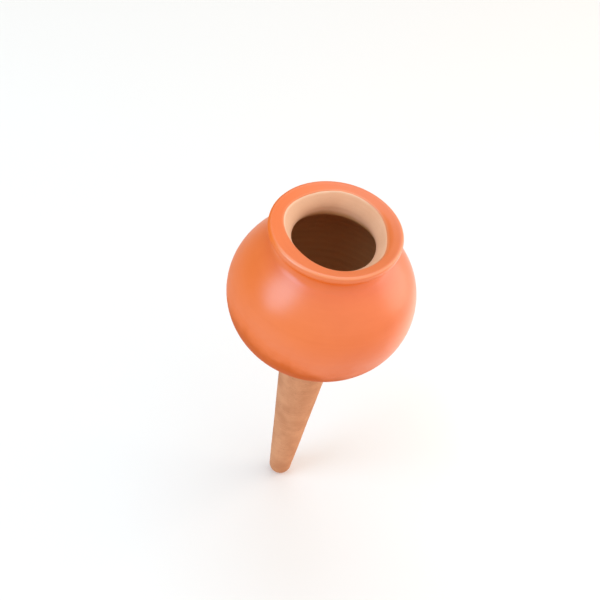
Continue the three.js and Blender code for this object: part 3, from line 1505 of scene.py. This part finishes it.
@dataclass(frozen=True)
class Studio:
    """Soft light all round that is stronger from the right and from above, and soft boxes."""

    globe: Vector
    floor: Vector
    dim: float = 0.38
    bright: float = 1.00
    bright_azimuth: float = math.radians(65.0)
    sky: float = 0.23
    white: Colour = (1.0, 1.0, 1.0, 1.0)
    boxes: tuple[SoftBox, ...] = (
        SoftBox("front_left_box", azimuth=-57.0, elevation=33.0, distance=0.9, width=0.54, height=0.92,
                brightness=4.4, tint=Tint.COOL),
        SoftBox("right_box", azimuth=116.0, elevation=14.0, distance=0.9, width=0.80, height=0.80,
                brightness=1.70, tint=Tint.WARM),
        SoftBox("back_left_box", azimuth=-165.0, elevation=64.0, distance=0.9, width=0.60, height=0.80,
                brightness=1.8, tint=Tint.COOL),
    )
    low_box: SoftBox = SoftBox("low_box", azimuth=0.0, elevation=90.0, distance=0.06, width=0.26,
                               height=0.26, brightness=1.4, tint=Tint.WARM)

    def build(self) -> None:
        """Puts the lights into the scene."""
        self._surround()
        for box in self.boxes:
            box.build(self.globe)
        self.low_box.build(self.floor)

    def _surround(self) -> None:
        """Lights the scene from all round."""
        world = bpy.data.worlds.new("soft_studio")
        bpy.context.scene.world = world
        bench = NodeBench(world)
        away = bench.add("ShaderNodeTexCoord", {}, {}, "Generated")
        x = bench.add("ShaderNodeSeparateXYZ", {}, {"Vector": away}, "X")
        side = math.sin(self.bright_azimuth) * x - math.cos(self.bright_azimuth) * x.other("Y")
        sky = self.sky * bench.ramp(x.other("Z"), Rise(0.0, 1.0))
        strength = self.dim + (self.bright - self.dim) * bench.ramp(side, Rise(-1.0, 1.0)) + sky
        light = bench.add("ShaderNodeBackground", {}, {"Color": self.white, "Strength": strength})
        bench.add("ShaderNodeOutputWorld", {}, {"Surface": light})


@dataclass(frozen=True)
class PhotoCamera:
    """Camera at the photograph's angle, with the globe at its place in a picture of 600 by 600 pixels."""

    target: Vector
    lens: float = 81.0
    sensor: float = 36.0
    picture: float = 600.0
    globe_across: float = 321.5
    globe_down: float = 291.6
    distance: float = 0.710
    tilt: float = math.radians(47.83)
    roll: float = math.radians(12.69)

    def build(self) -> None:
        """Puts the camera into the scene and makes it the one that is used."""
        data = bpy.data.cameras.new("photo_camera")
        data.lens = self.lens
        data.sensor_width = self.sensor
        camera = bpy.data.objects.new("photo_camera", data)
        bpy.context.scene.collection.objects.link(camera)
        tilted = Euler((QUARTER_TURN - self.tilt, 0.0, 0.0)).to_matrix()
        turned = tilted @ Matrix.Rotation(self.roll, 3, "Z")
        span = self.distance * self.sensor / self.lens / self.picture
        centre = self.picture / 2
        right = (centre - self.globe_across) * span
        up = (self.globe_down - centre) * span
        shift = Vector((right, up, self.distance))
        camera.matrix_world = Matrix.Translation(self.target + turned @ shift) @ turned.to_4x4()
        bpy.context.scene.camera = camera


def watering_globe(form: GlobeForm) -> list[TurnedPiece]:
    """Lists the pieces of the globe, with their places from the frame.

    Args:
        form: sizes of the globe.

    Returns:
        The pieces, from the outside in.
    """
    coat_low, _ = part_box("sealing_coat")
    bed_low, bed_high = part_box("luting_bed")
    spike_low, spike_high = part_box("spike")
    bore_radius = bed_high.x - Spike.wall
    return [
        SealingCoat(
            name="painted_coat",
            node="sealing_coat",
            slot="orange_paint",
            steps=160,
            pitch=1.0 * MM,
            form=form,
            hem=coat_low.z,
        ),
        GlobeShell(
            name="clay_reservoir",
            node="globe_shell",
            slot="terracotta",
            steps=160,
            pitch=1.0 * MM,
            form=form,
            spigot_radius=bed_high.x,
            bore_radius=bore_radius,
            socket_top=bed_high.z,
        ),
        Spike(
            name="clay_spike",
            node="spike",
            slot="porous_terracotta",
            steps=96,
            pitch=0.6 * MM,
            shoulder_radius=spike_high.x,
            spigot_radius=bed_high.x,
            spigot_top=spike_high.z,
            tip=spike_low.z,
        ),
        LutingBed(
            name="slip_bed",
            node="luting_bed",
            slot="fired_slip",
            steps=96,
            pitch=0.4 * MM,
            inner_radius=bore_radius,
            outer_radius=bed_high.x,
            low=bed_low.z,
            high=bed_high.z,
        ),
    ]


def main() -> None:
    """Builds the pieces, the floor, the lights and the camera."""
    logging.basicConfig(level=logging.INFO, format="%(name)s: %(message)s")
    cad_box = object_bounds()
    form = GlobeForm(radius=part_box("sealing_coat")[1].x)
    for part in watering_globe(form):
        piece = part.build()
        part.dress(piece)
        log.info("%s stands for %s with %d faces", piece.name, part.node, len(piece.data.polygons))
    globe_centre = form.globe.centre_height * AXIS
    floor = Floor(height=cad_box[0][2])
    floor.build()
    Studio(globe_centre, floor.right).build()
    PhotoCamera(globe_centre).build()
    bpy.context.scene.view_settings.view_transform = "Standard"


if __name__ == "__main__":
    main()
